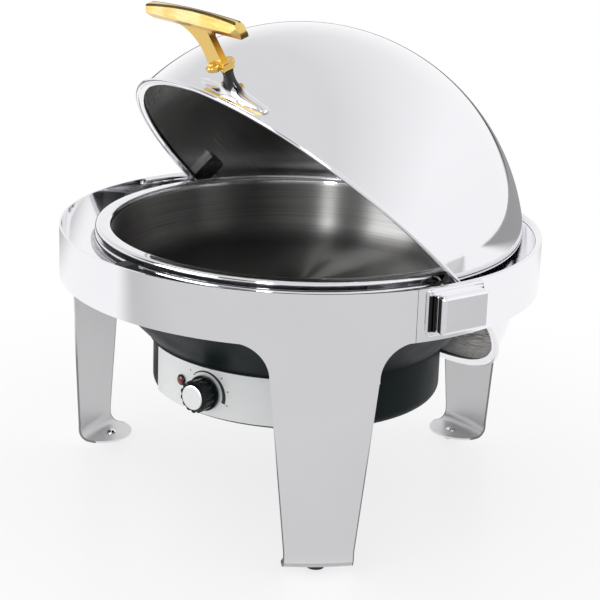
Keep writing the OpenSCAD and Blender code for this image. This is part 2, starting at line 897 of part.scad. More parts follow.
module control_knob() {
    foot = knob_face_r - knob_l;
    color("black") at_knob() difference() {
        union() {
            rod_out(foot, foot + 2.5, knob_r);
            translate([0, 0, foot + 2.5]) linear_extrude(knob_l - 4.5) fluted_disc(knob_r - 1.5, 14);
            translate([0, 0, knob_face_r - 2]) cylinder(r1 = knob_r - 3, r2 = knob_r - 4.5, h = 2);
        }
        rod_out(foot - over, foot + shaft_grip + 1, shaft_r + 0.02);
        rod_out(knob_face_r - 0.8, knob_face_r + over, 12.05);
    }
}

module knob_cap() {
    color("silver") at_knob() {
        rod_out(knob_face_r - 0.8, knob_face_r + 0.2, 12);
        translate([0, 0, knob_face_r + 0.2]) cylinder(r1 = 12, r2 = 11, h = 0.6);
    }
}

module thermostat_shaft() {
    color("silver") at_knob() rod_out(118, knob_face_r - knob_l + shaft_grip, shaft_r);
}

front_frame();
rear_frame();
joining_plate(-1);  // joining_plate_left
joining_plate(1);  // joining_plate_right
foot_pad(leg_azimuths[0]);  // foot_pad_left
foot_pad(leg_azimuths[1]);  // foot_pad_right
foot_pad(leg_azimuths[2]);  // foot_pad_rear
foot_screws();
pivot_base(-1);  // pivot_base_left
pivot_base(1);  // pivot_base_right
pivot_cover(-1);  // pivot_cover_left
pivot_cover(1);  // pivot_cover_right
pivot_pin(-1);  // pivot_pin_left
pivot_pin(1);  // pivot_pin_right
pivot_nuts();
pivot_spacers();
friction_washers();
pan_cradle();
lid_buffer();
lid_shell();
hinge_bracket(-1);  // hinge_bracket_left
hinge_bracket(1);  // hinge_bracket_right
bracket_studs();
handle_pedestal();
handle_grip();
grip_stud();
handle_screws();
food_pan();
water_pan();
housing();
base_cover();
cover_screws();
heating_plate();
heating_element();
thermal_cutout();
thermostat();
terminal_block();
control_panel();
lamp_bezel();
lamp_lens();
lamp_body();
cord_gland();
control_knob();
knob_cap();
thermostat_shaft();
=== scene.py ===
"""Looks of a round electric chafing dish with a roll-top lid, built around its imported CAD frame."""

import json
import math

import bmesh
import bpy
from mathutils import Matrix, Vector


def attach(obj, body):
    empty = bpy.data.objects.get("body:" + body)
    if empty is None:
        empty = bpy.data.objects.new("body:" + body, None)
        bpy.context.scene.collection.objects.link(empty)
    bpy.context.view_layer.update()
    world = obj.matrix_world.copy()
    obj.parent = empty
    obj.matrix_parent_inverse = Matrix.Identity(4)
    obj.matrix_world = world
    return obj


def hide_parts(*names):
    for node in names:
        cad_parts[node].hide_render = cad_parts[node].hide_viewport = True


bl_info = {
    "name": "Round electric chafing dish",
    "version": (1, 0, 0),
    "blender": (4, 5, 0),
    "location": "3D View > Sidebar > Chafing dish",
    "description": "Dresses the CAD frame of a chafing dish in its finishes and sets the stage",
    "category": "Object",
}

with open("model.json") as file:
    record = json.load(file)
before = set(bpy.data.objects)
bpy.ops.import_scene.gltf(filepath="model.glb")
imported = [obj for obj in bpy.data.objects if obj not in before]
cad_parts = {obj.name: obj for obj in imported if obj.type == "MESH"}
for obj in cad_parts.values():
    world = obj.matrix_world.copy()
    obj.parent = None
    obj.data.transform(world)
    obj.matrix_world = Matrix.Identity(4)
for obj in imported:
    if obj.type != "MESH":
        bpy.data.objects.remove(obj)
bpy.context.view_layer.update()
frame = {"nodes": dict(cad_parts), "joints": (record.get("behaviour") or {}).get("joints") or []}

PIVOT = Vector(frame["joints"][0]["pos_m"])
MM = 0.001
SHARP = math.radians(26)
BUMP_DEPTH = 0.0002
LEG_SPACING = math.radians(120)
LEG_HEIGHTS = (0.006, 0.223)
LEG_HALF_WIDTHS = (0.031, 0.053)
FOOT_TOP = 0.024
RING_MIDDLE = (0.2386, 0.2394)
LID_TILT = math.radians(45)
LID_POSE = Matrix.Translation(PIVOT) @ Matrix.Rotation(-LID_TILT, 4, "X")
HANDLE_POSE = (
    LID_POSE
    @ Matrix.Rotation(math.radians(15), 4, "Z")
    @ Matrix.Rotation(math.radians(80), 4, "X")
    @ Matrix.Translation((0, 0, 0.223))
)
NECK_POSE = HANDLE_POSE @ Matrix.Rotation(math.radians(-20), 4, "X") @ Matrix.Translation((-0.016, 0, 0.020))
GRIP_LEAN = math.radians(9)
GRIP_POSE = NECK_POSE @ Matrix.Rotation(-GRIP_LEAN, 4, "Y")
GRIP_ARCH = (-18, -507.8)
GRIP_ARCH_RADIUS = 559.8
KNOB_PLACE = (math.radians(17.5), 0.1335)
PANEL_RADIUS = 0.1472
DIAL = (math.radians(-18), math.radians(137))
TICK_SPACING = math.radians(31)
CARD_FADE = math.radians(20)
CARD_FADE_SHARE = 0.3
BACK_LEFT = math.radians(-120)
DIM_SIDE = (-0.4, -1.0, 0.5)
LAMP_TARGET = Vector((0, 0, 0.25))
MATT_LAMPS = (
    ("key", (0.6, -1.6, 2.2), 1.6, 1.6, 8.0),
    ("fill", (-1.8, -0.6, 1.6), 1.4, 1.4, 4.0),
)
GLOSS_LAMPS = (
    ("strip", (1.3, -1.85, 1.25), 0.28, 1.1, 14.0),
    ("window", (-0.45, -2.15, 1.2), 1.4, 1.1, 42.0),
)


# Properties


def colour_property(name, description, default):
    return bpy.props.FloatVectorProperty(
        name=name, description=description, subtype="COLOR", size=3, min=0, max=1, default=default
    )


def length_property(name, description, default):
    return bpy.props.FloatProperty(
        name=name, description=description, subtype="DISTANCE", unit="LENGTH", min=0, default=default
    )


class DishColours(bpy.types.PropertyGroup):
    """Base colours of the finishes"""

    steel: colour_property("Polished steel", "Mirror-polished sheet of the ring, legs and dome", (0.89, 0.89, 0.92))
    satin: colour_property("Satin steel", "Inner faces of the legs and the small fittings", (0.60, 0.60, 0.61))
    pan: colour_property("Pan steel", "Brushed steel of the pans and of the inside of the dome", (0.50, 0.495, 0.49))
    gold: colour_property("Gold", "Plated grip of the lid", (0.90, 0.62, 0.20))
    housing: colour_property("Housing", "Moulding of the heater base", (0.008, 0.013, 0.014))
    rubber: colour_property("Rubber", "Feet and lid buffer", (0.018, 0.018, 0.018))
    panel: colour_property("Panel", "Silver control panel and the cap of the knob", (0.87, 0.88, 0.885))
    lens: colour_property("Lens", "Dark red lamp", (0.30, 0.012, 0.012))
    ivory: colour_property("Ivory", "Heat-resistant mouldings inside the base", (0.78, 0.74, 0.62))


class DishSizes(bpy.types.PropertyGroup):
    """Sizes of the turned and bevelled pieces"""

    lid_radius: length_property("Lid radius", "Outer radius of the dome", 0.223)
    lid_wall: length_property("Lid wall", "Thickness of the dome's sheet", 0.0015)
    rim_offset: length_property("Rim offset", "Distance of the rim from the pivot axis", 0.024)
    rim_radius: length_property("Rim radius", "Radius of the rolled rim", 0.0023)
    hem_width: length_property("Hem width", "Width of the folded hem inside the rim", 0.0045)
    block_bevel: length_property("Block bevel", "Rounding of the pivot covers", 0.0035)
    grip_bevel: length_property("Grip bevel", "Rounding of the grip's edges", 0.0009)


class DishStage(bpy.types.PropertyGroup):
    """Camera, floor and cards"""

    azimuth: bpy.props.FloatProperty(
        name="Azimuth", description="Camera's angle round the dish from the front", subtype="ANGLE",
        default=math.radians(53.535),
    )
    elevation: bpy.props.FloatProperty(
        name="Elevation", description="Camera's angle above the floor", subtype="ANGLE", default=math.radians(17.101)
    )
    roll: bpy.props.FloatProperty(
        name="Roll", description="Turn of the camera about its own axis", subtype="ANGLE", default=math.radians(1.96)
    )
    distance: length_property("Distance", "From the camera to the point that it looks at", 1.8845)
    target_height: length_property("Target height", "Height of the point that the camera looks at", 0.2028)
    lens: bpy.props.FloatProperty(name="Lens", description="Focal length", subtype="DISTANCE_CAMERA", default=111.73)
    shift: bpy.props.FloatVectorProperty(
        name="Shift", description="Shift of the picture, in widths", size=2, precision=4, default=(0.0023, -0.0162)
    )
    floor_side: length_property("Floor side", "Side of the square floor", 16.0)
    card_distance: length_property("Card distance", "Distance of the dark cards from the dish's axis", 5.0)


# Mesh helpers


class Section:
    """A pen that draws a section in the XZ plane, in millimetres, to be spun about Z or drawn out along Y"""

    def __init__(self, x, z):
        self.bm = bmesh.new()
        self.first = self.last = self.bm.verts.new((x, 0, z))

    def line(self, *points):
        for x, z in points:
            end = self.bm.verts.new((x, 0, z))
            self.bm.edges.new((self.last, end))
            self.last = end
        return self

    def arc(self, x, z, degrees, steps):
        """Swing the pen about a centre, from +X towards +Z where the angle is positive"""
        swung = bmesh.ops.spin(
            self.bm, geom=[self.last], cent=(x, 0, z), axis=(0, -1, 0), angle=math.radians(degrees), steps=steps
        )
        self.last = next(item for item in swung["geom_last"] if isinstance(item, bmesh.types.BMVert))
        return self

    def close(self):
        self.bm.edges.new((self.last, self.first))
        return self

    def lathe(self, steps=320):
        """Spin the section all the way round"""
        bmesh.ops.spin(
            self.bm, geom=self.bm.verts[:] + self.bm.edges[:], cent=(0, 0, 0), axis=(0, 0, 1),
            angle=2 * math.pi, steps=steps, use_merge=True,
        )
        return closed(self.bm)

    def slab(self, thickness):
        """Fill the outline and draw it out to both sides of its plane"""
        bm = self.bm
        bmesh.ops.remove_doubles(bm, verts=bm.verts, dist=0.001)
        bmesh.ops.edgeloop_fill(bm, edges=bm.edges[:])
        bmesh.ops.translate(bm, verts=bm.verts, vec=(0, -thickness / 2, 0))
        drawn = bmesh.ops.extrude_face_region(bm, geom=bm.faces[:], use_keep_orig=True)["geom"]
        moved = [item for item in drawn if isinstance(item, bmesh.types.BMVert)]
        bmesh.ops.translate(bm, verts=moved, vec=(0, thickness, 0))
        return closed(bm)


def closed(bm):
    bmesh.ops.remove_doubles(bm, verts=bm.verts, dist=0.001)
    bmesh.ops.holes_fill(bm, edges=[edge for edge in bm.edges if edge.is_boundary])
    bmesh.ops.recalc_face_normals(bm, faces=bm.faces)
    return bm


def trim(bm, place, outward):
    """Cut a solid with a plane and close the cut"""
    bmesh.ops.bisect_plane(
        bm, geom=bm.verts[:] + bm.edges[:] + bm.faces[:], plane_co=place, plane_no=outward, clear_outer=True
    )
    return closed(bm)


def creases(bm, least):
    """Edges that turn by more than an angle"""
    return [edge for edge in bm.edges if edge.is_manifold and edge.calc_face_angle() > math.radians(least)]


def soften(bm, edges, offset, segments=4):
    bmesh.ops.bevel(
        bm, geom=edges, offset=offset, offset_type="OFFSET", affect="EDGES", segments=segments, profile=0.5,
        material=-1, clamp_overlap=True,
    )
    return bm


def turn(bm, degrees, axis):
    bmesh.ops.rotate(bm, verts=bm.verts, cent=(0, 0, 0), matrix=Matrix.Rotation(math.radians(degrees), 3, axis))
    return bm


def move(bm, x, y, z):
    bmesh.ops.translate(bm, verts=bm.verts, vec=(x, y, z))
    return bm


def joined(*solids):
    whole = bmesh.new()
    for solid in solids:
        mesh = bpy.data.meshes.new("solid")
        solid.to_mesh(mesh)
        solid.free()
        whole.from_mesh(mesh)
        bpy.data.meshes.remove(mesh)
    return whole


def add_object(name, bm):
    mesh = bpy.data.meshes.new(name)
    bm.to_mesh(mesh)
    bm.free()
    made = bpy.data.objects.new(name, mesh)
    bpy.context.scene.collection.objects.link(made)
    return made


def weigh(piece):
    """Let the large faces set the shading, so that they look flat beside their rounded edges"""
    weights = piece.modifiers.new("face_weights", "WEIGHTED_NORMAL")
    weights.keep_sharp = True


def add_piece(name, bm, pose, material, body, slot, *nodes):
    """Bring a solid from millimetres to its place in metres, and let it stand for CAD nodes"""
    bmesh.ops.transform(bm, verts=bm.verts, matrix=pose @ Matrix.Scale(MM, 4))
    piece = add_object(name, bm)
    piece.data.materials.append(material)
    piece.data.shade_smooth()
    piece.data.set_sharp_from_angle(angle=SHARP)
    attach(piece, body)
    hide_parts(*nodes)
    return piece


# Node helpers


class Nodes:
    """Short calls for the nodes of a tree"""

    def __init__(self, tree):
        self.tree = tree

    def node(self, kind, **settings):
        made = self.tree.nodes.new(kind)
        for key, value in settings.items():
            setattr(made, key, value)
        return made

    def join(self, value, socket):
        """Link a socket to another one, or give it a constant"""
        if isinstance(value, bpy.types.NodeSocket):
            self.tree.links.new(value, socket)
        else:
            socket.default_value = value

    def fill(self, made, **values):
        for key, value in values.items():
            self.join(value, made.inputs[key.replace("_", " ")])
        return made

    def maths(self, operation, a, b=0.0, c=0.0):
        made = self.node("ShaderNodeMath", operation=operation)
        for socket, value in zip(made.inputs, (a, b, c)):
            self.join(value, socket)
        return made.outputs[0]

    def times(self, a, b):
        return self.maths("MULTIPLY", a, b)

    def vector(self, operation, a, b=(0, 0, 0)):
        made = self.node("ShaderNodeVectorMath", operation=operation)
        self.join(a, made.inputs[0])
        self.join(b, made.inputs[1])
        return made.outputs["Value"] if operation in ("LENGTH", "DOT_PRODUCT") else made.outputs["Vector"]

    def split(self, vector):
        return self.fill(self.node("ShaderNodeSeparateXYZ"), Vector=vector).outputs

    def combine(self, x, y, z):
        return self.fill(self.node("ShaderNodeCombineXYZ"), X=x, Y=y, Z=z).outputs[0]

    def mapped(self, vector, scale, rotation=(0, 0, 0)):
        return self.fill(self.node("ShaderNodeMapping"), Vector=vector, Scale=scale, Rotation=rotation).outputs[0]

    def noise(self, vector, scale, detail):
        return self.fill(self.node("ShaderNodeTexNoise"), Vector=vector, Scale=scale, Detail=detail).outputs["Fac"]

    def span(self, value, low, high, to_low, to_high, smooth=False):
        """Bring one range to another and hold it at the ends"""
        made = self.node("ShaderNodeMapRange", interpolation_type="SMOOTHSTEP" if smooth else "LINEAR")
        self.fill(made, Value=value, From_Min=low, From_Max=high, To_Min=to_low, To_Max=to_high)
        return made.outputs["Result"]

    def vary(self, noise, low, high):
        """Bring the middle of a noise's range to two values"""
        return self.span(noise, 0.3, 0.7, low, high)

    def band(self, value, low, high, edge):
        """One between two values and nought outside them, with soft edges"""
        rise = self.span(value, low - edge, low + edge, 0.0, 1.0)
        return self.times(rise, self.span(value, high - edge, high + edge, 1.0, 0.0))

    def soft_band(self, value, low, high, fade):
        """One between two values, falling off to nought at each of them"""
        rise = self.span(value, low, low + fade, 0.0, 1.0, smooth=True)
        return self.times(rise, self.span(value, high - fade, high, 1.0, 0.0, smooth=True))

    def mix(self, share, a, b):
        made = self.node("ShaderNodeMix", data_type="FLOAT")
        for socket, value in zip((made.inputs[0], made.inputs[2], made.inputs[3]), (share, a, b)):
            self.join(value, socket)
        return made.outputs[0]

    def blend(self, share, a, b):
        """Mix two colours"""
        made = self.node("ShaderNodeMix", data_type="RGBA")
        self.join(share, made.inputs["Factor"])
        for socket, value in zip((made.inputs[6], made.inputs[7]), (a, b)):
            self.join(value if isinstance(value, bpy.types.NodeSocket) else (*value, 1.0), socket)
        return made.outputs[2]

    def tint(self, share, colour, low, high):
        """Mix two shades of a colour"""
        return self.blend(share, shade(colour, low), shade(colour, high))

    def bump(self, height, strength):
        made = self.fill(self.node("ShaderNodeBump"), Height=height, Strength=strength, Distance=BUMP_DEPTH)
        return made.outputs["Normal"]


class Finish(Nodes):
    """A material with a Principled shader, laid out in the object's own coordinates"""

    def __init__(self, name):
        self.material = bpy.data.materials.new(name)
        self.material.use_nodes = True
        super().__init__(self.material.node_tree)
        self.shader = self.tree.nodes["Principled BSDF"]
        self.place = self.node("ShaderNodeTexCoord").outputs["Object"]

    def set(self, **sockets):
        self.fill(self.shader, **sockets)

    def show(self, share, first, second):
        """Let a mix of two shaders stand for the Principled one"""
        mix = self.node("ShaderNodeMixShader")
        for value, socket in zip((share, first, second), mix.inputs):
            self.join(value, socket)
        self.join(mix.outputs[0], self.tree.nodes["Material Output"].inputs["Surface"])

    def around(self):
        """Round coordinates about the dish's axis: angle from the back, radius and height"""
        x, y, z = self.split(self.place)
        radius = self.maths("SQRT", self.maths("ADD", self.times(x, x), self.times(y, y)))
        return self.maths("ARCTAN2", x, y), radius, z

    def from_front(self):
        """Angle from the front and height"""
        x, y, z = self.split(self.place)
        return self.maths("ARCTAN2", x, self.times(y, -1.0)), z

    def marks(self):
        """Faint polishing marks"""
        return self.noise(self.mapped(self.place, (60, 60, 400)), 1.0, 4.0)


def shade(colour, factor):
    return tuple(min(1.0, c * factor) for c in colour)


def scene_colours():
    return bpy.context.scene.dish_colours


# Finishes


def polished_sheet():
    """Mirror-polished ring with satin faces inside the legs, painted shade as dark lines down the legs' edges and
    round the outer feet, and painted light on the foot tabs, told apart by their place
    """
    colours = scene_colours()
    f = Finish("polished_sheet")
    angle, radius, height = f.around()
    inside = f.span(radius, *RING_MIDDLE, 1.0, 0.0)
    leg = f.times(inside, f.span(height, 0.17, 0.20, 1.0, 0.0))
    # painted light: the foot tabs inside the legs are made lighter
    painted_light_tab = f.times(inside, f.span(height, 0.007, 0.014, 1.0, 0.0))
    from_leg = f.maths("WRAP", angle, LEG_SPACING / 2, -LEG_SPACING / 2)
    across = f.maths("ABSOLUTE", f.times(radius, f.maths("SINE", from_leg)))
    half_width = f.span(f.maths("MAXIMUM", height, FOOT_TOP), *LEG_HEIGHTS, *LEG_HALF_WIDTHS)
    to_edge = f.maths("SUBTRACT", half_width, across)
    # painted shade: a thin dark line down each edge of the legs, below 0.15 m
    side = f.times(f.span(to_edge, 0.0007, 0.0013, 1.0, 0.0), f.span(height, 0.10, 0.15, 1.0, 0.0))
    # painted shade: the outer faces darken just above the floor
    painted_foot_shade = f.maths("SUBTRACT", f.span(height, 0.0060, 0.0085, 1.0, 0.0), inside)
    # edge gathers both painted shades, which take a dark shade of the satin colour
    edge = f.maths("MAXIMUM", side, painted_foot_shade)
    brush = f.noise(f.combine(f.times(angle, 9.0), 0.0, f.times(height, 900.0)), 1.0, 4.0)
    cloud = f.noise(f.place, 14.0, 2.0)
    plain = f.blend(leg, f.tint(cloud, colours.steel, 0.97, 1.03), f.tint(brush, colours.satin, 0.94, 1.06))
    # painted light: the foot tabs take a lighter shade of the satin colour
    light = f.blend(painted_light_tab, plain, shade(colours.satin, 1.35))
    f.set(Base_Color=f.blend(edge, light, shade(colours.satin, 0.35)), Metallic=1.0)
    f.set(Roughness=f.mix(leg, f.vary(cloud, 0.045, 0.085), f.vary(brush, 0.36, 0.46)))
    f.set(Normal=f.bump(f.times(brush, leg), 0.06))
    return f.material


def dome_sheet():
    """Polished outside and on the folded hem, dark and finely brushed inside, with painted shade along the crease
    above the hem
    """
    colours = scene_colours()
    f = Finish("dome_sheet")
    spun = f.mapped(f.vector("SUBTRACT", f.place, tuple(PIVOT)), (1, 1, 1), rotation=(LID_TILT, 0, 0))
    x, y, z = f.split(spun)
    inside = f.span(f.vector("LENGTH", spun), 0.2219, 0.2225, 1.0, 0.0)
    dull = f.times(inside, f.span(z, 0.0254, 0.0258, 0.0, 1.0))
    # painted shade: a dark band inside the dome where the hem meets the wall
    painted_crease_shade = f.times(inside, f.band(z, 0.0256, 0.0290, 0.0004))
    brush = f.noise(f.combine(f.maths("ARCTAN2", x, y), 0.0, f.times(z, 1400.0)), 1.0, 3.0)
    cloud = f.noise(f.place, 7.0, 2.0)
    tone = f.maths("ADD", f.times(brush, 0.25), f.times(cloud, 0.75))
    inside_colour = f.tint(f.span(tone, 0.35, 0.65, 0.0, 1.0), colours.pan, 1.0, 1.8)
    plain = f.blend(dull, f.tint(cloud, colours.steel, 0.97, 1.03), inside_colour)
    # painted shade: the crease band takes a near-black shade of the pan colour
    f.set(Base_Color=f.blend(painted_crease_shade, plain, shade(colours.pan, 0.2)), Metallic=1.0)
    f.set(Roughness=f.mix(dull, f.vary(cloud, 0.05, 0.09), f.vary(tone, 0.2, 0.3)))
    f.set(Normal=f.bump(f.times(brush, dull), 0.008))
    return f.material


def spun_pan():
    """Spun steel with fine rings round the dish's axis, painted shade darkening the bowl towards the pan's floor, and
    a polished flange
    """
    colours = scene_colours()
    f = Finish("spun_pan")
    angle, radius, height = f.around()
    flange = f.span(radius, 0.1886, 0.1892, 0.0, 1.0)
    rings = f.noise(f.combine(f.times(angle, 1.5), f.times(radius, 900.0), f.times(height, 900.0)), 1.0, 4.0)
    cloud = f.noise(f.place, 8.0, 2.0)
    tone = f.maths("ADD", f.times(rings, 0.5), f.times(cloud, 0.5))
    # painted shade: the bowl's colour darkens towards the pan's floor
    depth = f.span(height, 0.2086, 0.2300, 0.2, 1.0, smooth=True)
    bowl_colour = f.tint(f.times(tone, depth), colours.pan, 0.16, 1.5)
    f.set(Base_Color=f.blend(flange, bowl_colour, f.tint(cloud, colours.steel, 0.96, 1.04)), Metallic=1.0)
    f.set(Anisotropic=1.0, Anisotropic_Rotation=0.25)
    f.set(Roughness=f.mix(flange, f.vary(tone, 0.36, 0.46), f.vary(cloud, 0.06, 0.1)))
    f.set(Normal=f.bump(f.times(rings, f.span(flange, 0.0, 1.0, 1.0, 0.0)), 0.05))
    f.set(Tangent=f.node("ShaderNodeTangent", direction_type="RADIAL", axis="Z").outputs[0])
    return f.material


def pivot_chrome():
    """Bright chrome with painted dark reflection lines round the sides of the pivot covers"""
    colours = scene_colours()
    f = Finish("pivot_chrome")
    x, y, z = f.split(f.place)
    depth = f.maths("ABSOLUTE", x)
    level = f.maths("ABSOLUTE", f.maths("SUBTRACT", z, PIVOT.z))
    along = f.span(f.maths("ABSOLUTE", y), 0.0225, 0.0250, 0.0, 1.0)
    side = f.times(along, f.span(level, 0.0166, 0.0174, 1.0, 0.0))
    # painted reflection: two dark bands round the covers' sides, still metal, in a dark shade of the rubber colour
    painted_reflection_lines = f.maths("ADD", f.band(depth, 0.2400, 0.2446, 0.0002), f.band(depth, 0.2470, 0.2520, 0.0005))
    marks = f.marks()
    plain = f.tint(marks, colours.steel, 1.02, 1.07)
    f.set(Base_Color=f.blend(f.times(side, painted_reflection_lines), plain, shade(colours.rubber, 1.5)), Metallic=1.0)
    f.set(Roughness=f.vary(marks, 0.03, 0.05))
    return f.material


def pedestal_chrome():
    """Bright chrome at the skirt and a painted dark reflection up the neck, told apart by the distance from the dome
    """
    colours = scene_colours()
    f = Finish("pedestal_chrome")
    away = f.vector("LENGTH", f.vector("SUBTRACT", f.place, tuple(PIVOT)))
    # painted reflection: the neck darkens to a near-black shade of the steel colour
    painted_dark_reflection = f.span(away, 0.2262, 0.2290, 0.0, 1.0, smooth=True)
    marks = f.marks()
    bright = f.tint(marks, colours.steel, 0.97, 1.05)
    f.set(Base_Color=f.blend(painted_dark_reflection, bright, shade(colours.steel, 0.06)), Metallic=1.0)
    f.set(Roughness=f.vary(marks, 0.04, 0.09))
    return f.material


def panel_plate():
    """Silver plate with a plain rising arc and plain marks round the knob"""
    colours = scene_colours()
    f = Finish("panel_plate")
    angle, height = f.from_front()
    u = f.times(f.maths("SUBTRACT", angle, KNOB_PLACE[0]), PANEL_RADIUS)
    v = f.maths("SUBTRACT", height, KNOB_PLACE[1])
    reach = f.vector("LENGTH", f.combine(u, v, 0.0))
    swing = f.maths("ARCTAN2", v, u)
    outer = f.span(swing, DIAL[1], DIAL[0], 0.0211, 0.0243)
    within = f.times(f.maths("GREATER_THAN", reach, 0.0202), f.maths("LESS_THAN", reach, outer))
    arc = f.times(within, f.band(swing, *DIAL, 0.005))
    beat = f.maths("SINE", f.times(f.maths("SUBTRACT", swing, DIAL[0]), math.pi / TICK_SPACING))
    tick = f.times(f.maths("LESS_THAN", f.maths("ABSOLUTE", beat), 0.1), f.band(reach, 0.0256, 0.0276, 0.0001))
    spare = math.radians(2)
    ticks = f.times(tick, f.band(swing, DIAL[0] - spare, DIAL[1] + spare, 0.005))
    print_share = f.maths("MAXIMUM", arc, ticks)
    brush = f.noise(f.combine(f.times(u, 60.0), 0.0, f.times(v, 1500.0)), 1.0, 3.0)
    plate = f.tint(brush, colours.panel, 0.95, 1.05)
    f.set(Base_Color=f.blend(print_share, plate, shade(colours.rubber, 1.0)))
    f.set(Metallic=f.span(print_share, 0.0, 1.0, 0.35, 0.0), Roughness=f.vary(brush, 0.3, 0.42))
    return f.material


def bright_fitting(name, colour, low, high):
    """Plated or turned metal with faint marks"""
    f = Finish(name)
    marks = f.marks()
    f.set(Base_Color=f.tint(marks, colour, 0.93, 1.06), Metallic=1.0, Roughness=f.vary(marks, low, high))
    return f.material


def gold_plate():
    """Gold plate with painted light on the bar's broad sides, painted shade under the bar and on the web, and painted
    dark reflections on the ridges and the nose
    """
    colour = scene_colours().gold
    f = Finish("gold_plate")
    offset = f.vector("SUBTRACT", f.place, tuple(GRIP_POSE.translation))
    x, y, z = (f.vector("DOT_PRODUCT", offset, tuple(GRIP_POSE.col[axis].xyz / MM)) for axis in range(3))
    from_centre = (f.maths("SUBTRACT", value, centre) for value, centre in zip((x, z), GRIP_ARCH))
    to_top = f.maths("SUBTRACT", GRIP_ARCH_RADIUS, f.vector("LENGTH", f.combine(*from_centre, 0.0)))
    flank = f.maths("ADD", f.times(f.maths("ABSOLUTE", y), 0.878), f.times(z, 0.478))
    to_flank = f.maths("SUBTRACT", 26.62, flank)
    # painted reflection: the ridges along the bar's top edges are darkened
    ridge = f.times(f.span(to_top, 1.3, 1.7, 1.0, 0.0), f.span(to_flank, 1.3, 1.7, 1.0, 0.0))
    # painted reflection: the nose is darkened
    nose = f.span(x, 38.5, 40.5, 0.0, 1.0, smooth=True)
    # painted shade on the web's front, darkest towards the bar
    throat = f.maths("ADD", x, f.times(z, 0.5))
    front = f.times(f.span(throat, 9.2, 9.7, 0.0, 1.0), f.band(z, 5.0, 33.0, 2.0))
    # painted shade under the bar's broad sides
    under = f.span(z, 40.6, 41.2, 1.0, 0.0)
    marks = f.marks()
    cloud = f.span(f.noise(f.place, 38.0, 1.0), 0.35, 0.65, 0.0, 1.0, smooth=True)
    # painted light on the bar's broad sides, with random paler patches
    painted_lit_gold = f.blend(cloud, shade(colour, 1.0), (0.95, 0.78, 0.38))
    painted_shaded_gold = f.tint(marks, colour, 0.82, 0.92)
    painted_dark_reflection = f.tint(marks, colour, 0.05, 0.22)
    painted_web_shade = f.blend(f.span(z, 10.0, 26.0, 0.0, 1.0), (0.72, 0.36, 0.04), (0.16, 0.06, 0.01))
    body = f.blend(front, f.blend(under, painted_lit_gold, painted_shaded_gold), painted_web_shade)
    f.set(Base_Color=f.blend(f.maths("MAXIMUM", ridge, nose), body, painted_dark_reflection), Metallic=1.0)
    f.set(Roughness=f.vary(marks, 0.14, 0.22))
    return f.material


def moulded(name, colour, low, high, grain, specular=0.5):
    """Moulded plastic or rubber with a fine grain"""
    f = Finish(name)
    cloud = f.noise(f.place, 25.0, 2.0)
    f.set(Base_Color=f.tint(cloud, colour, 0.85, 1.2), Roughness=f.vary(cloud, low, high))
    f.set(Specular_IOR_Level=specular, Normal=f.bump(f.noise(f.place, grain, 3.0), 0.15))
    return f.material


def lamp_glass():
    """Dark red translucent lens"""
    f = Finish("lamp_glass")
    cloud = f.noise(f.place, 300.0, 2.0)
    f.set(Base_Color=f.tint(cloud, scene_colours().lens, 0.8, 1.3), Roughness=f.vary(cloud, 0.08, 0.16))
    return f.material


# Operators


def dress(material, *nodes):
    for name in nodes:
        mesh = frame["nodes"][name].data
        mesh.materials.clear()
        mesh.materials.append(material)


class DISH_OT_lid(bpy.types.Operator):
    """Turn the dome with its rolled rim and folded hem"""

    bl_idname = "dish.lid"
    bl_label = "Lid"

    def execute(self, context):
        sizes = context.scene.dish_sizes
        outer, wall = sizes.lid_radius / MM, sizes.lid_wall / MM
        low, rim = sizes.rim_offset / MM, sizes.rim_radius / MM
        reach = outer + rim - 1.0
        rim_x = math.sqrt(reach ** 2 - low ** 2)
        meet = math.asin(low / reach) + math.acos((outer ** 2 + reach ** 2 - rim ** 2) / (2 * outer * reach))
        roll = math.atan2(outer * math.sin(meet) - low, outer * math.cos(meet) - rim_x) + math.radians(150)
        fold = rim_x - rim - sizes.hem_width / MM
        wall_low = math.asin((low + 3.5) / (outer - wall))
        pen = Section(0, outer)
        pen.arc(0, 0, math.degrees(meet) - 90, 64)
        pen.arc(rim_x, low, -math.degrees(roll), 22)
        pen.line((fold + 0.5, low - 0.2), (fold, low + 0.2), (fold + 0.1, low + 0.8), (fold + 1.2, low + 1.6))
        pen.line(((outer - wall) * math.cos(wall_low), low + 3.5))
        pen.arc(0, 0, 90 - math.degrees(wall_low), 64)
        add_piece("lid_dome", pen.lathe(), LID_POSE, dome_sheet(), "lid", "mirror_steel", "lid_shell")
        return {"FINISHED"}


class DISH_OT_pans(bpy.types.Operator):
    """Spin the food pan and the water pan with their turned-over flanges"""

    bl_idname = "dish.pans"
    bl_label = "Pans"

    def execute(self, context):
        finish = spun_pan()
        food = Section(0, 208.5).line((40, 208.5), (90, 208.5), (130, 208.5), (160, 208.5)).arc(160, 233.5, 90, 12)
        food.line((189, 269.5)).arc(193, 269.5, -90, 8).line((201, 273.5)).arc(201, 269.5, -90, 8)
        food.line((205, 265.7), (204.4, 265.2), (203.8, 265.5), (203.8, 269.5)).arc(201, 269.5, 90, 6)
        food.line((193, 272.3)).arc(193, 269.5, 90, 6).line((186.2, 233.5)).arc(160, 233.5, -90, 10).line((0, 207.3))
        place = Matrix.Identity(4)
        add_piece("food_pan_spun", food.lathe(), place, finish, "food_pan", "pan_steel", "food_pan")
        water = Section(0, 168).line((60, 168), (120, 168), (145.38, 168), (192.5, 215.12), (192.5, 265), (203, 265))
        water.arc(203, 262, -90, 6).line((206, 257.6), (205.2, 257.2), (204.5, 257.5), (204.5, 262))
        water.arc(203, 262, 90, 5).line((194, 263.5), (194, 214.5), (146, 166.5), (0, 166.5))
        add_piece("water_pan_spun", water.lathe(), place, finish, "heater_unit", "pan_steel", "water_pan")
        return {"FINISHED"}


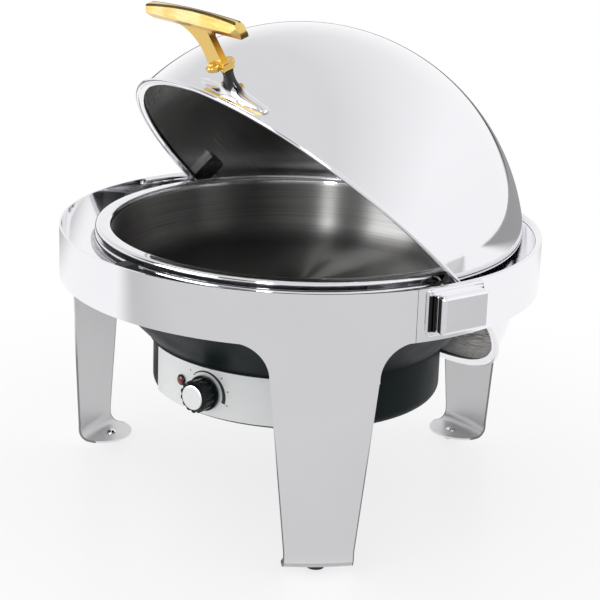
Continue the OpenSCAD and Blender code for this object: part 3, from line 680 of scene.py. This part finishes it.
class DISH_OT_grip(bpy.types.Operator):
    """Build the faceted grip with its web, foot plate and two round lugs"""

    bl_idname = "dish.grip"
    bl_label = "Grip"

    def execute(self, context):
        bevel = context.scene.dish_sizes.grip_bevel / MM
        seat = ((0, 0, 0), (-math.sin(GRIP_LEAN), 0, -math.cos(GRIP_LEAN)))
        web = Section(-14.4, -3).line((11.5, -3), (-4.3, 28.6), (-3.7, 30.2)).arc(1.6, 30.2, -84, 8)
        web.line((1.5, 40), (-70, 40), (-70, 36.8), (-56, 35.7)).arc(-56, -6, -85.8, 24).close()
        plate = Section(-9, -7).line((-9, 7), (11, 7), (11, -7)).close().slab(7.5)
        foot = [trim(web.slab(7), *seat), trim(move(turn(plate, 90, "X"), 0, 0, 0.75), *seat)]
        for side in (-1, 1):
            lug = Section(0, -3).line((6.5, -3), (6.5, 2.6)).arc(4.6, 2.6, 90, 5).line((2.2, 4.1), (0, 4.3)).lathe(40)
            foot.append(trim(move(lug, -1, 9.5 * side, 0), *seat))
        bar = self.bar()
        ridges = [edge for edge in creases(bar, 20) if max(face.normal.z for face in edge.link_faces) > 0.9]
        soften(bar, ridges, 2 * bevel, 1)
        soften(bar, creases(bar, 35), bevel)
        whole = joined(bar, *(soften(solid, creases(solid, 40), bevel) for solid in foot))
        weigh(add_piece("grip_gold", whole, GRIP_POSE, gold_plate(), "lid", "gold_finish", "handle_grip"))
        return {"FINISHED"}

    def bar(self):
        """Arched outline, cut to its facets and to its narrow nose"""
        outline = Section(-89.4, 47.6).arc(*GRIP_ARCH, -12.45, 24)
        outline.line((41.5, 38.5), (41.5, 36.5), (36, 33), (-78.5, 33), (-84.5, 36), (-88, 42), (-89.5, 47)).close()
        bar = outline.slab(16)
        trim(bar, (0, 0, 35), (0, 0, -1))
        for side in (-1, 1):
            trim(bar, (0, 8 * side, 41), (0, 12.5 * side, 6.8))
            trim(bar, (0, 8 * side, 41), (0, 6 * side, -4.5))
            trim(bar, (42.5, 3 * side, 0), (6, 16 * side, 0))
            trim(bar, (-90.5, 5 * side, 0), (-4, 5 * side, 0))
        return bar


class DISH_OT_pedestal(bpy.types.Operator):
    """Loft the flared pedestal from its neck down to the dome"""

    bl_idname = "dish.pedestal"
    bl_label = "Pedestal"

    def execute(self, context):
        bm = bmesh.new()
        rings = [self.ring(bm, *level) for level in (
            (0.0, 0.0, 13.4, 6.0), (-0.8, 0.0, 13.4, 6.0), (-2.5, 1.4, 14.3, 4.9), (-5.0, 2.4, 15.7, 4.3),
            (-8.0, 2.8, 17.9, 4.0), (-11.0, 2.5, 20.9, 4.3), (-13.0, 2.0, 23.3, 4.8), (-15.0, 1.2, 26.9, 5.5),
            (-17.0, -0.6, 33.0, 6.4), (-18.6, -3.2, 41.0, 7.2), (-20.0, -7.5, 49.0, 7.8), (-21.3, -16.0, 55.5, 8.2),
            (-22.3, -27.5, 60.2, 8.5), (-22.9, -29.0, 61.0, 8.5), (-24.5, -29.0, 61.0, 8.5),
        )]
        for upper, lower in zip(rings, rings[1:]):
            bmesh.ops.bridge_loops(bm, edges=upper + lower)
        to_lid = LID_POSE.inverted() @ NECK_POSE
        seat = context.scene.dish_sizes.lid_radius / MM + 0.05
        scaled = Matrix.Scale(1 / MM, 4) @ to_lid @ Matrix.Scale(MM, 4)
        for vertex in {end for edge in rings[-1] for end in edge.verts}:
            there = scaled @ vertex.co
            vertex.co = scaled.inverted() @ (there * (seat / there.length))
        finish = pedestal_chrome()
        add_piece("pedestal_chrome", closed(bm), NECK_POSE, finish, "lid", "mirror_steel", "handle_pedestal")
        return {"FINISHED"}

    def ring(self, bm, height, left, right, half):
        verts = bmesh.ops.create_circle(bm, segments=64, radius=1)["verts"]
        bmesh.ops.scale(bm, verts=verts, vec=((right - left) / 2, half, 1))
        bmesh.ops.translate(bm, verts=verts, vec=((left + right) / 2, 0, height))
        return list({edge for vertex in verts for edge in vertex.link_edges})


class DISH_OT_pivot_covers(bpy.types.Operator):
    """Build the rounded pivot covers with a groove round their sides"""

    bl_idname = "dish.pivot_covers"
    bl_label = "Pivot covers"

    def execute(self, context):
        finish = pivot_chrome()
        for side, name in ((-1, "left"), (1, "right")):
            cover = self.cover(context.scene.dish_sizes.block_bevel / MM)
            bmesh.ops.scale(cover, verts=cover.verts, vec=(side, 1, 1))
            closed(move(cover, 244 * side, 0, 250))
            place = Matrix.Identity(4)
            weigh(add_piece(f"pivot_cap_{name}", cover, place, finish, "frame", "mirror_steel", f"pivot_cover_{name}"))
        dress(finish, "pivot_base_left", "pivot_base_right")
        return {"FINISHED"}

    def cover(self, bevel):
        bm = bmesh.new()
        bmesh.ops.create_grid(bm, x_segments=1, y_segments=1, size=0.5)
        turn(bm, 90, "Y")
        bmesh.ops.scale(bm, verts=bm.verts, vec=(1, 54, 36))
        bmesh.ops.bevel(
            bm, geom=bm.verts[:], offset=bevel, offset_type="OFFSET", affect="VERTICES", segments=5, profile=0.5,
            material=-1,
        )
        face = next(iter(bm.faces))
        for reach, waist in ((3.0, 1.0), (0.4, 0.97), (1.0, 1.0), (0.4, 1 / 0.97), (7.2, 1.0)):
            face = bmesh.ops.extrude_discrete_faces(bm, faces=[face])["faces"][0]
            bmesh.ops.translate(bm, verts=face.verts, vec=(reach, 0, 0))
            bmesh.ops.scale(bm, verts=face.verts, vec=(1, waist, waist))
        bmesh.ops.bevel(
            bm, geom=face.edges[:], offset=bevel, offset_type="OFFSET", affect="EDGES", segments=6, profile=0.5,
            material=-1,
        )
        return bm


class DISH_OT_steel(bpy.types.Operator):
    """Finish the steel pieces of the frame and the small fittings"""

    bl_idname = "dish.steel"
    bl_label = "Steel"

    def execute(self, context):
        colours = scene_colours()
        dress(polished_sheet(), "front_frame", "rear_frame")
        dress(bright_fitting("chrome_fitting", colours.steel, 0.04, 0.09), "foot_screws")
        dress(
            bright_fitting("satin_fitting", colours.satin, 0.2, 0.34),
            "joining_plate_left", "joining_plate_right", "pan_cradle", "pivot_pin_left", "pivot_pin_right",
            "pivot_nuts", "pivot_spacers", "friction_washers", "handle_screws", "grip_stud", "cover_screws",
            "thermostat_shaft", "heating_element", "heating_plate",
        )
        dress(
            bright_fitting("bracket_steel", shade(colours.pan, 0.35), 0.15, 0.25),
            "hinge_bracket_left", "hinge_bracket_right", "bracket_studs",
        )
        return {"FINISHED"}


class DISH_OT_mouldings(bpy.types.Operator):
    """Finish the heater base, the control panel and the rubber pieces"""

    bl_idname = "dish.mouldings"
    bl_label = "Mouldings"

    def execute(self, context):
        colours = scene_colours()
        dress(
            moulded("housing_moulding", colours.housing, 0.32, 0.45, 900.0, specular=0.06),
            "housing", "base_cover", "cord_gland",
        )
        dress(
            moulded("rubber_moulding", colours.rubber, 0.5, 0.7, 700.0),
            "foot_pad_left", "foot_pad_right", "foot_pad_rear", "lid_buffer",
        )
        dress(moulded("knob_moulding", colours.housing, 0.2, 0.3, 1200.0, specular=0.2), "control_knob", "lamp_bezel")
        dress(
            moulded("ivory_moulding", colours.ivory, 0.4, 0.55, 600.0),
            "thermal_cutout", "thermostat", "terminal_block", "lamp_body",
        )
        dress(panel_plate(), "control_panel")
        dress(bright_fitting("knob_silver", colours.panel, 0.3, 0.42), "knob_cap")
        dress(lamp_glass(), "lamp_lens")
        return {"FINISHED"}


class DISH_OT_stage(bpy.types.Operator):
    """Set the floor, the light and the camera"""

    bl_idname = "dish.stage"
    bl_label = "Stage"

    def execute(self, context):
        stage = context.scene.dish_stage
        set_floor(stage)
        set_card("back_card", stage.card_distance, (0.0, 0.3), (-165, -60))
        set_card("front_card", stage.card_distance, (1.6, 6.0), (-66, 40))
        set_world()
        set_lamps()
        set_camera(stage)
        context.scene.view_settings.view_transform = "Standard"
        return {"FINISHED"}


def heading(bearing):
    """Level direction at an angle from the front"""
    return math.sin(bearing), -math.cos(bearing), 0


def set_floor(stage):
    """White floor with a faint shadow at the dish, dimmer in metal on the camera's side and to the back left"""
    bm = bmesh.new()
    bmesh.ops.create_grid(bm, x_segments=1, y_segments=1, size=stage.floor_side / 2)
    floor = add_object("floor", bm)
    f = Finish("floor_white")
    f.set(Base_Color=f.blend(f.noise(f.place, 3.0, 2.0), (0.93, 0.93, 0.93), (0.95, 0.95, 0.95)), Roughness=0.3)
    away = f.span(f.vector("LENGTH", f.place), 0.3, 0.7, 0.75, 1.0, smooth=True)
    path = f.node("ShaderNodeLightPath").outputs
    mirrored = f.maths("MAXIMUM", path["Is Glossy Ray"], path["Is Transmission Ray"])
    seen = f.maths("MAXIMUM", path["Is Camera Ray"], mirrored)
    before = f.vector("DOT_PRODUCT", f.place, heading(stage.azimuth))
    leftward = f.vector("DOT_PRODUCT", f.place, heading(BACK_LEFT))
    front = f.span(before, 0.1, 0.3, 1.0, f.span(before, 0.35, 0.6, 0.60, 0.68), smooth=True)
    behind = f.span(leftward, 0.6, 1.1, 1.0, 0.35, smooth=True)
    strength = f.mix(path["Is Glossy Ray"], 1.0, f.times(front, behind))
    glow = f.fill(f.node("ShaderNodeEmission"), Color=(1.0, 1.0, 1.0, 1.0), Strength=strength)
    f.show(f.times(away, seen), f.shader.outputs[0], glow.outputs[0])
    floor.data.materials.append(f.material)


def set_card(name, distance, heights, angles):
    """Dark card with soft edges that only polished metal sees, bent round the dish between two angles"""
    low, high = heights
    first, last = (math.radians(angle) for angle in angles)
    bm = Section(distance, low).line((distance, high)).bm
    turn(bm, angles[0] - 90, "Z")
    bmesh.ops.spin(
        bm, geom=bm.verts[:] + bm.edges[:], cent=(0, 0, 0), axis=(0, 0, 1), angle=last - first, steps=48
    )
    card = add_object(name, bm)
    f = Finish(name)
    f.set(Base_Color=f.blend(f.noise(f.place, 1.0, 2.0), (0.02, 0.02, 0.02), (0.04, 0.04, 0.04)), Roughness=0.9)
    angle, height = f.from_front()
    across = f.soft_band(angle, first, last, CARD_FADE)
    start = low or -high  # a card that stands on the floor fades only at its top
    upward = f.soft_band(height, start, high, CARD_FADE_SHARE * (high - low))
    clear = f.node("ShaderNodeBsdfTransparent")
    f.show(f.times(across, upward), clear.outputs[0], f.shader.outputs[0])
    card.data.materials.append(f.material)
    card.visible_camera = False
    card.visible_diffuse = False
    card.visible_shadow = False


def set_world():
    """White studio for the camera, a little dimmer overhead and to the left for metal"""
    world = bpy.data.worlds.new("studio")
    bpy.context.scene.world = world
    world.use_nodes = True
    n = Nodes(world.node_tree)
    look = n.node("ShaderNodeTexCoord").outputs["Generated"]
    lean = n.span(n.vector("DOT_PRODUCT", look, DIM_SIDE), -0.6, 0.3, 0.0, 0.25)
    dim = n.span(n.split(look)["Z"], 0.1, 0.5, 0.0, lean)
    seen = n.node("ShaderNodeLightPath").outputs["Is Camera Ray"]
    light = n.maths("MAXIMUM", n.maths("SUBTRACT", 1.0, dim), seen)
    n.fill(n.tree.nodes["Background"], Color=light, Strength=1.0)


def set_lamps():
    """Lamps for matt pieces, and lamps that only show as gloss"""
    for name, place, width, height, power in MATT_LAMPS + GLOSS_LAMPS:
        data = bpy.data.lights.new(name, "AREA")
        data.shape = "RECTANGLE"
        data.size = width
        data.size_y = height
        data.energy = power
        lamp = bpy.data.objects.new(name, data)
        lamp.location = place
        lamp.visible_diffuse = name in (matt[0] for matt in MATT_LAMPS)
        lamp.visible_glossy = not lamp.visible_diffuse
        lamp.rotation_euler = (LAMP_TARGET - Vector(place)).to_track_quat("-Z", "Y").to_euler()
        bpy.context.scene.collection.objects.link(lamp)


def set_camera(stage):
    data = bpy.data.cameras.new("camera")
    data.sensor_width = 36
    data.lens = stage.lens
    data.shift_x, data.shift_y = stage.shift
    data.clip_end = 50
    camera = bpy.data.objects.new("camera", data)
    level, rise = math.cos(stage.elevation), math.sin(stage.elevation)
    x, y, z = heading(stage.azimuth)
    back = Vector((x * level, y * level, rise))
    right = Vector((0, 0, 1)).cross(back).normalized()
    up = back.cross(right)
    turned = Matrix((right, up, back)).transposed() @ Matrix.Rotation(stage.roll, 3, "Z")
    place = Vector((0, 0, stage.target_height)) + back * stage.distance
    camera.matrix_world = Matrix.Translation(place) @ turned.to_4x4()
    bpy.context.scene.collection.objects.link(camera)
    bpy.context.scene.camera = camera


class DISH_PT_panel(bpy.types.Panel):
    """Lists the steps that dress the chafing dish"""

    bl_idname = "DISH_PT_panel"
    bl_label = "Chafing dish"
    bl_space_type = "VIEW_3D"
    bl_region_type = "UI"
    bl_category = "Chafing dish"

    def draw(self, context):
        for step in STEPS:
            self.layout.operator(step.bl_idname)


STEPS = (
    DISH_OT_lid, DISH_OT_pans, DISH_OT_grip, DISH_OT_pedestal, DISH_OT_pivot_covers, DISH_OT_steel, DISH_OT_mouldings,
    DISH_OT_stage,
)
CLASSES = (DishColours, DishSizes, DishStage, *STEPS, DISH_PT_panel)


def register():
    for item in CLASSES:
        bpy.utils.register_class(item)
    bpy.types.Scene.dish_colours = bpy.props.PointerProperty(type=DishColours)
    bpy.types.Scene.dish_sizes = bpy.props.PointerProperty(type=DishSizes)
    bpy.types.Scene.dish_stage = bpy.props.PointerProperty(type=DishStage)


def unregister():
    del bpy.types.Scene.dish_stage
    del bpy.types.Scene.dish_sizes
    del bpy.types.Scene.dish_colours
    for item in reversed(CLASSES):
        bpy.utils.unregister_class(item)


def main():
    register()
    for step in STEPS:
        group, name = step.bl_idname.split(".")
        getattr(getattr(bpy.ops, group), name)()


if __name__ == "__main__":
    main()
